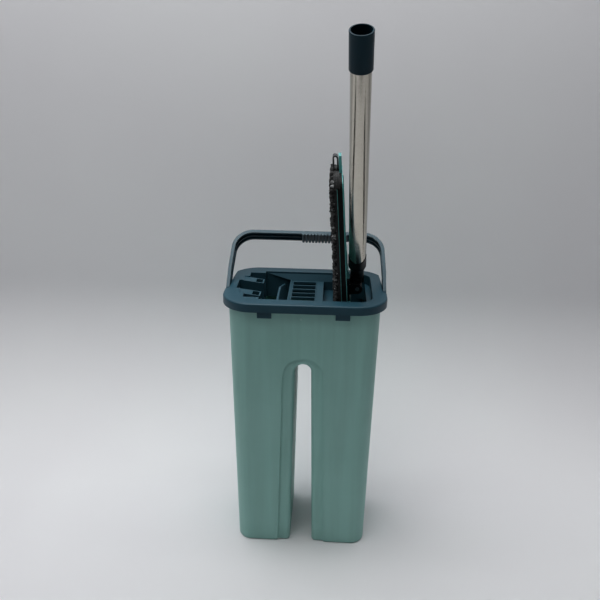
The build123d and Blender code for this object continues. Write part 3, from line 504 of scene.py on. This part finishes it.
# Each pocket follows the plate's edge round one end, from the same height on both sides.
plate_half_length, plate_half_width, plate_corner, pocket_gap = 160.0, 47.5, 14.0, 0.15
pocket_start, pocket_back, pocket_thick = 144.0, -4.2, 1.45
pocket_rim = outline(plate_half_length + pocket_gap, plate_half_width + pocket_gap,
                     plate_corner, corner_steps=12)
for side, end in ((1, "top"), (-1, "bottom")):
    first = next(i for i, p in enumerate(pocket_rim)
                 if p[1] * side >= pocket_start > pocket_rim[i - 1][1] * side)
    count = sum(p[1] * side >= pocket_start for p in pocket_rim)
    walk = [pocket_rim[(first + k) % len(pocket_rim)] for k in range(count)]
    section = rounded_section(plate_front, pocket_back, 0.0, pocket_thick, soft=0.5, puff=0.15)
    pocket = swept_band(f"pad_pocket_{end}", walk, section, closed=False)
    pocket.data.materials.append(tape_cloth)
    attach(pocket, "mop_head")
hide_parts("pad_pockets")

stitch_pitch, stitch_length, thread_radius = 0.003, 0.0021, 0.00028


def stitch_tree():
    """Geometry Nodes: small rounded stitches set end to end along a path."""
    tree = bpy.data.node_groups.new("stitch_row", "GeometryNodeTree")
    face = tree.interface
    face.new_socket("Path", in_out="INPUT", socket_type="NodeSocketGeometry")
    sizes = {}
    for label, value in (("Pitch", stitch_pitch), ("Length", stitch_length),
                         ("Thread", thread_radius)):
        socket = face.new_socket(label, in_out="INPUT", socket_type="NodeSocketFloat")
        socket.default_value = value
        sizes[label] = socket.identifier
    face.new_socket("Geometry", in_out="OUTPUT", socket_type="NodeSocketGeometry")
    given = add(tree, "NodeGroupInput")
    path = add(tree, "GeometryNodeMeshToCurve", {"Mesh": given.outputs["Path"]})
    spaced = add(tree, "GeometryNodeResampleCurve", {"Curve": path.outputs["Curve"]}, mode="LENGTH")
    tree.links.new(given.outputs["Pitch"], spaced.inputs["Length"])
    tangent = add(tree, "GeometryNodeInputTangent")
    turn = add(tree, "FunctionNodeAlignRotationToVector", {"Vector": tangent.outputs["Tangent"]},
               axis="Z")
    stitch = add(tree, "GeometryNodeMeshUVSphere", {"Segments": 6, "Rings": 4, "Radius": 1.0})
    size = add(tree, "ShaderNodeCombineXYZ", {"X": given.outputs["Thread"],
                                              "Y": given.outputs["Thread"]})
    half = add(tree, "ShaderNodeMath", {0: given.outputs["Length"], 1: 0.5}, operation="MULTIPLY")
    tree.links.new(half.outputs["Value"], size.inputs["Z"])
    rows = add(tree, "GeometryNodeInstanceOnPoints", {"Points": spaced.outputs["Curve"],
                                                      "Instance": stitch.outputs["Mesh"],
                                                      "Rotation": turn.outputs["Rotation"],
                                                      "Scale": size.outputs["Vector"]})
    solid = add(tree, "GeometryNodeRealizeInstances", {"Geometry": rows.outputs["Instances"]})
    coloured = add(tree, "GeometryNodeSetMaterial", {"Geometry": solid.outputs["Geometry"]})
    smooth = add(tree, "GeometryNodeSetShadeSmooth", {"Geometry": coloured.outputs["Geometry"]})
    out = add(tree, "NodeGroupOutput")
    tree.links.new(smooth.outputs["Geometry"], out.inputs["Geometry"])
    return tree, sizes, coloured


def run_tree(piece, name, tree, values):
    """Run a Geometry Nodes tree on an object and keep its result as a plain mesh."""
    modifier = piece.modifiers.new("made", "NODES")
    modifier.node_group = tree
    for identifier, value in values.items():
        modifier[identifier] = value
    depsgraph = bpy.context.evaluated_depsgraph_get()
    result = bpy.data.meshes.new_from_object(piece.evaluated_get(depsgraph))
    result.name = name
    old = piece.data
    piece.modifiers.clear()
    piece.data = result
    bpy.data.meshes.remove(old)
    return piece


# Polyester thread: a soft grey twist with a faint shine along each stitch.
thread, tree, shader, place = new_material("twisted_grey_polyester_thread", 0.55, ior=1.5)
twist = add(tree, "ShaderNodeTexNoise", {"Vector": place, "Scale": 2500.0, "Detail": 2.0})
thread_tone = add(tree, "ShaderNodeValToRGB", {"Fac": twist.outputs["Fac"]},
                  stops=[(0.3, "#17191A"), (0.7, "#232627")])
tree.links.new(thread_tone.outputs["Color"], shader.inputs["Base Color"])
stitches, stitch_sizes, stitch_finish = stitch_tree()
stitch_finish.inputs["Material"].default_value = thread

# One row of stitches runs round the tape, a hair above it and halfway through its depth.
row_depth, row_height = -9.6, 1.45
row_points = [head_place @ (Vector((row_depth, y + ny * row_height, z + nz * row_height)) * 0.001)
              for y, z, ny, nz in binding_line]
row_mesh = bpy.data.meshes.new("tape_stitches")
row_mesh.from_pydata(row_points, [(i, (i + 1) % len(row_points)) for i in range(len(row_points))], [])
stitch_row = run_tree(link_object("tape_stitches", row_mesh), "tape_stitches", stitches,
                      {stitch_sizes["Pitch"]: stitch_pitch, stitch_sizes["Length"]: stitch_length,
                       stitch_sizes["Thread"]: thread_radius})
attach(stitch_row, "mop_head")

# ---- Pad pile -----------------------------------------------------------------------------
# The wiping face is deep microfibre pile: short bent strands tufted into a soft base. The
# base swells a little between its edges, and the strands are charcoal mixed with grey; the
# few palest strands are a painted highlight standing in for lit fibre ends.

pile_skin, pile_inset, sewn_depth = -13.0, 0.8, 0.9
pile_base = crowned_slab("pad_pile_base", pad_half_length - pile_inset, pad_half_width - pile_inset,
                         pad_corner - pile_inset, back=cloth_front, front=pile_skin, rings=12,
                         rise=lambda inset, y, z: 0.0)
# Only the points near the backing are held while the base swells.
held = pile_base.vertex_groups.new(name="sewn_edge")
to_plate = head_place.inverted()
back_points = [v.index for v in pile_base.data.vertices
               if (to_plate @ v.co).x * 1000 > cloth_front - sewn_depth]
held.add(back_points, 1.0, "REPLACE")
start_points = [v.co.copy() for v in pile_base.data.vertices]
swell_frames, swell_cap = 14, 0.0016
cloth = pile_base.modifiers.new("swell", "CLOTH")
cloth.settings.quality = 6
cloth.settings.use_pressure = True
cloth.settings.uniform_pressure_force = 4.0
cloth.settings.effector_weights.gravity = 0.0
cloth.settings.vertex_group_mass = held.name
cloth.settings.tension_stiffness = 40
cloth.settings.compression_stiffness = 40
cloth.settings.shear_stiffness = 20
scene = bpy.context.scene
for tick in range(1, swell_frames + 1):
    scene.frame_set(tick)
swollen = bpy.data.meshes.new_from_object(
    pile_base.evaluated_get(bpy.context.evaluated_depsgraph_get()))
for vertex, before in zip(swollen.vertices, start_points):
    move = vertex.co - before
    if move.length > swell_cap:
        vertex.co = before + move.normalized() * swell_cap
pile_base.modifiers.clear()
stiff = pile_base.data
pile_base.data = swollen
bpy.data.meshes.remove(stiff)
scene.frame_set(1)
pile_base.vertex_groups.clear()
tufts_per_square_metre, strand_length, pile_seed = 150000.0, 0.0023, 7


def tuft_tree():
    """Geometry Nodes: bent strands scattered over a surface, each with its own shade."""
    tree = bpy.data.node_groups.new("tufted_pile", "GeometryNodeTree")
    face = tree.interface
    face.new_socket("Surface", in_out="INPUT", socket_type="NodeSocketGeometry")
    names = {}
    for label, kind, value in (("Per Square Metre", "NodeSocketFloat", tufts_per_square_metre),
                               ("Strand Length", "NodeSocketFloat", strand_length),
                               ("Spread", "NodeSocketFloat", 0.6),
                               ("Seed", "NodeSocketInt", pile_seed)):
        socket = face.new_socket(label, in_out="INPUT", socket_type=kind)
        socket.default_value = value
        names[label] = socket.identifier
    face.new_socket("Geometry", in_out="OUTPUT", socket_type="NodeSocketGeometry")
    given = add(tree, "NodeGroupInput")
    scatter = add(tree, "GeometryNodeDistributePointsOnFaces",
                  {"Mesh": given.outputs["Surface"], "Density": given.outputs["Per Square Metre"],
                   "Seed": given.outputs["Seed"]}, distribute_method="RANDOM")
    # One strand is a tapered five-sided stalk that leans over at its tip.
    line = add(tree, "GeometryNodeCurvePrimitiveBezierSegment",
               {"Resolution": 4, "Start": (0, 0, -0.1), "Start Handle": (0, 0, 0.45),
                "End Handle": (0.15, 0.0, 1.0), "End": (0.5, 0.1, 0.95)})
    along = add(tree, "GeometryNodeSplineParameter")
    taper = add(tree, "ShaderNodeMapRange", {"Value": along.outputs["Factor"], "To Min": 0.20,
                                             "To Max": 0.12})
    curve = add(tree, "GeometryNodeSetCurveRadius", {"Curve": line.outputs["Curve"],
                                                     "Radius": taper.outputs["Result"]})
    tip = add(tree, "GeometryNodeStoreNamedAttribute", {"Geometry": curve.outputs["Curve"],
                                                        "Name": "tip",
                                                        "Value": along.outputs["Factor"]},
              data_type="FLOAT", domain="POINT")
    ring = add(tree, "GeometryNodeCurvePrimitiveCircle", {"Resolution": 5, "Radius": 1.0})
    stalk = add(tree, "GeometryNodeCurveToMesh", {"Curve": tip.outputs["Geometry"],
                                                  "Profile Curve": ring.outputs["Curve"],
                                                  "Fill Caps": True})
    spin = add(tree, "FunctionNodeRandomValue", {0: (-1.0, -1.0, -pi), 1: (1.0, 1.0, pi),
                                                 "Seed": given.outputs["Seed"]},
               data_type="FLOAT_VECTOR")
    tilt = add(tree, "ShaderNodeVectorMath", {0: spin.outputs["Value"]}, operation="MULTIPLY")
    reach = add(tree, "ShaderNodeCombineXYZ", {"X": given.outputs["Spread"],
                                               "Y": given.outputs["Spread"], "Z": 1.0})
    tree.links.new(reach.outputs["Vector"], tilt.inputs[1])
    lean = add(tree, "FunctionNodeEulerToRotation", {"Euler": tilt.outputs["Vector"]})
    stand = add(tree, "FunctionNodeRotateRotation",
                {"Rotation": scatter.outputs["Rotation"], "Rotate By": lean.outputs["Rotation"]},
                rotation_space="LOCAL")
    grow = add(tree, "FunctionNodeRandomValue", {2: 0.7, 3: 1.2, "Seed": given.outputs["Seed"]},
               data_type="FLOAT")
    size = add(tree, "ShaderNodeMath", {0: grow.outputs[1], 1: given.outputs["Strand Length"]},
               operation="MULTIPLY")
    rows = add(tree, "GeometryNodeInstanceOnPoints", {"Points": scatter.outputs["Points"],
                                                      "Instance": stalk.outputs["Mesh"],
                                                      "Rotation": stand.outputs["Rotation"],
                                                      "Scale": size.outputs["Value"]})
    shade = add(tree, "FunctionNodeRandomValue", {"Seed": 3}, data_type="FLOAT")
    marked = add(tree, "GeometryNodeStoreNamedAttribute", {"Geometry": rows.outputs["Instances"],
                                                           "Name": "shade",
                                                           "Value": shade.outputs[1]},
                 data_type="FLOAT", domain="INSTANCE")
    solid = add(tree, "GeometryNodeRealizeInstances", {"Geometry": marked.outputs["Geometry"]})
    coloured = add(tree, "GeometryNodeSetMaterial", {"Geometry": solid.outputs["Geometry"]})
    smooth = add(tree, "GeometryNodeSetShadeSmooth", {"Geometry": coloured.outputs["Geometry"]})
    out = add(tree, "NodeGroupOutput")
    tree.links.new(smooth.outputs["Geometry"], out.inputs["Geometry"])
    return tree, names, coloured


# Microfibre: very matt with a pale halo of fine fibre ends, partly its sheen and partly painted.
# Each strand has its own grey at random; the palest few are a painted highlight for backlit fibre ends.
microfibre, tree, shader, place = new_material("tufted_microfibre_pile", 0.95, ior=1.5)
shade = add(tree, "ShaderNodeAttribute", attribute_name="shade")
tip = add(tree, "ShaderNodeAttribute", attribute_name="tip")
# Strand greys are random; the near-white top stop is a painted highlight for backlit fibre ends.
strand = add(tree, "ShaderNodeValToRGB", {"Fac": shade.outputs["Fac"]},
             stops=[(0.7, "#0C0D0E"), (0.85, "#2A2D2E"), (0.96, "#9DA1A2")])
fibre = add(tree, "ShaderNodeTexNoise", {"Vector": place, "Scale": 1800.0, "Detail": 3.0})
# Along each strand the grey moves toward a mid grey, most at the tip, in fine patches.
tip_grey_blend = add(tree, "ShaderNodeMath", {0: tip.outputs["Fac"], 1: fibre.outputs["Fac"]},
           operation="MULTIPLY")
pile_tone = add(tree, "ShaderNodeMix", {0: tip_grey_blend.outputs["Value"], 6: strand.outputs["Color"],
                                        7: colour("#2C2F30")}, data_type="RGBA")
tree.links.new(pile_tone.outputs[2], shader.inputs["Base Color"])
fibre_bump = add(tree, "ShaderNodeBump", {"Height": fibre.outputs["Fac"], "Strength": 0.8,
                                          "Distance": 0.0003})
tree.links.new(fibre_bump.outputs["Normal"], shader.inputs["Normal"])
shader.inputs["Sheen Weight"].default_value = 0.12
shader.inputs["Sheen Roughness"].default_value = 0.6

pile_base.data.materials.append(microfibre)
tufting, tuft_names, tuft_finish = tuft_tree()
tuft_finish.inputs["Material"].default_value = microfibre
# The strands grow from the wiping face only, not from the sewn sides.
wiping_face = bmesh.new()
wiping_face.from_mesh(pile_base.data)
wiping_way = (head_place.to_3x3() @ Vector((-1, 0, 0))).normalized()
sides = [face for face in wiping_face.faces if face.normal.dot(wiping_way) < 0.6]
bmesh.ops.delete(wiping_face, geom=sides, context="FACES")
face_mesh = bpy.data.meshes.new("pad_pile_strands")
wiping_face.to_mesh(face_mesh)
wiping_face.free()
pile = link_object("pad_pile_strands", face_mesh)
run_tree(pile, "pad_pile_strands", tufting,
         {tuft_names["Per Square Metre"]: tufts_per_square_metre, tuft_names["Seed"]: pile_seed})
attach(pile_base, "mop_head")
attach(pile, "mop_head")
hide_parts("pad_pile")

# ---- Pull loop ----------------------------------------------------------------------------
# A short loop of grey nylon webbing stands at the pad's top edge, where its two ends are sewn
# in under the tape. The user pulls the pad off the plate by it.

loop_centre, loop_half_width, loop_foot, loop_top = -8.7, 9.0, 162.3, 177.3
leg_gap, leg_step, leg_sway, webbing_thick = 2.8, 5.0, 0.12, 0.0023
columns, bend_rows = 9, 9
section = [(-leg_gap + leg_sway * sin(k), loop_foot + leg_step * k) for k in range(4)]
for step in range(bend_rows):
    turn = pi - step / (bend_rows - 1) * pi
    section.append((leg_gap * cos(turn), loop_top + leg_gap * sin(turn)))
section += [(leg_gap + leg_sway * sin(k), loop_foot + leg_step * k) for k in (3, 2, 1, 0)]
loop_edit = bmesh.new()
grid = []
for x, z in section:
    row = []
    for column in range(columns):
        y = -loop_half_width + 2 * loop_half_width * column / (columns - 1)
        # The webbing stands a quarter of a millimetre up at its edges and down at its middle.
        ease = 0.25 * cos(column / (columns - 1) * 2 * pi)
        row.append(loop_edit.verts.new(head_place @ (Vector((loop_centre + x, y, z + ease)) * 0.001)))
    grid.append(row)
for low, high in zip(grid, grid[1:]):
    for i in range(columns - 1):
        loop_edit.faces.new((low[i], low[i + 1], high[i + 1], high[i]))
bmesh.ops.recalc_face_normals(loop_edit, faces=loop_edit.faces)
loop_mesh = bpy.data.meshes.new("pad_pull_loop")
loop_edit.to_mesh(loop_mesh)
loop_edit.free()
pull_loop = link_object("pad_pull_loop", loop_mesh)
thicken = pull_loop.modifiers.new("webbing", "SOLIDIFY")
thicken.thickness = webbing_thick
thicken.offset = 0.0
soften = pull_loop.modifiers.new("soften", "SUBSURF")
soften.levels = 2
soften.render_levels = 2
for polygon in loop_mesh.polygons:
    polygon.use_smooth = True

# Nylon webbing: ribbed across its width every 1 mm or so, with a dry sheen on the crests that is
# partly a painted highlight in its colour.
webbing, tree, shader, place = new_material("woven_grey_nylon_webbing", 0.7, ior=1.5)
weave(tree, shader, plate_axes(tree, place), thread_mm=1.0, depth_mm=0.3,
      stops=[(0.3, "#181B1D"), (1.0, "#454B4F")])
shader.inputs["Sheen Weight"].default_value = 0.3
shader.inputs["Sheen Roughness"].default_value = 0.4
loop_mesh.materials.append(webbing)
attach(pull_loop, "mop_head")
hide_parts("pull_loop")

# ---- Pole ---------------------------------------------------------------------------------
# A thin-walled stainless tube, drawn and polished, pressed into the black fork and screwed. A
# slate sleeve at its top takes the next length of pole.

finish_node("pole_fork", black_pp)
finish_node("fork_screw", plated)

# Polished stainless: bright and slightly warm. Drawing leaves fine lines along the tube, 0.2 mm
# apart in life and drawn at 0.8 mm, and handling leaves a few duller patches.
stainless, tree, shader, place = new_material("polished_drawn_stainless_steel", 0.16, metallic=1.0)
sleeve_low, sleeve_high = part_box("pole_coupler")
pole_line = (sleeve_low + sleeve_high) / 2 - joint_at["pole_swivel"]
to_pole = pole_line.to_track_quat("Z", "Y").inverted().to_euler()
along_pole = add(tree, "ShaderNodeMapping", {"Vector": place, "Rotation": tuple(to_pole),
                                             "Scale": (1250.0, 1250.0, 8.0)})
drawn = add(tree, "ShaderNodeTexNoise", {"Vector": along_pole.outputs["Vector"], "Scale": 1.0,
                                         "Detail": 2.0})
patch = add(tree, "ShaderNodeTexNoise", {"Vector": place, "Scale": 60.0, "Detail": 4.0})
steel = add(tree, "ShaderNodeValToRGB", {"Fac": drawn.outputs["Fac"]},
            stops=[(0.3, "#B9B5AB"), (0.7, "#C6C2B8")])
tree.links.new(steel.outputs["Color"], shader.inputs["Base Color"])
dulled = add(tree, "ShaderNodeMapRange", {"Value": patch.outputs["Fac"], "From Min": 0.35,
                                          "From Max": 0.75, "To Min": 0.12, "To Max": 0.24})
tree.links.new(dulled.outputs["Result"], shader.inputs["Roughness"])
lines = add(tree, "ShaderNodeBump", {"Height": drawn.outputs["Fac"], "Strength": 0.15,
                                     "Distance": 0.00003})
tree.links.new(lines.outputs["Normal"], shader.inputs["Normal"])
finish_node("pole_tube", stainless)

# The sleeve is the same slate plastic, moulded in a smoother tool, and reads darker.
sleeve_pp, tree, shader, place = new_material("smooth_slate_polypropylene_sleeve", 0.35, ior=1.49)
moulded(tree, shader, place, stops=[(0.32, "#10303C"), (0.68, "#143744")],
        gloss=(0.3, 0.4), grain_mm=1.4, depth_mm=0.03)
shader.inputs["Specular IOR Level"].default_value = 0.22
finish_node("pole_coupler", sleeve_pp)
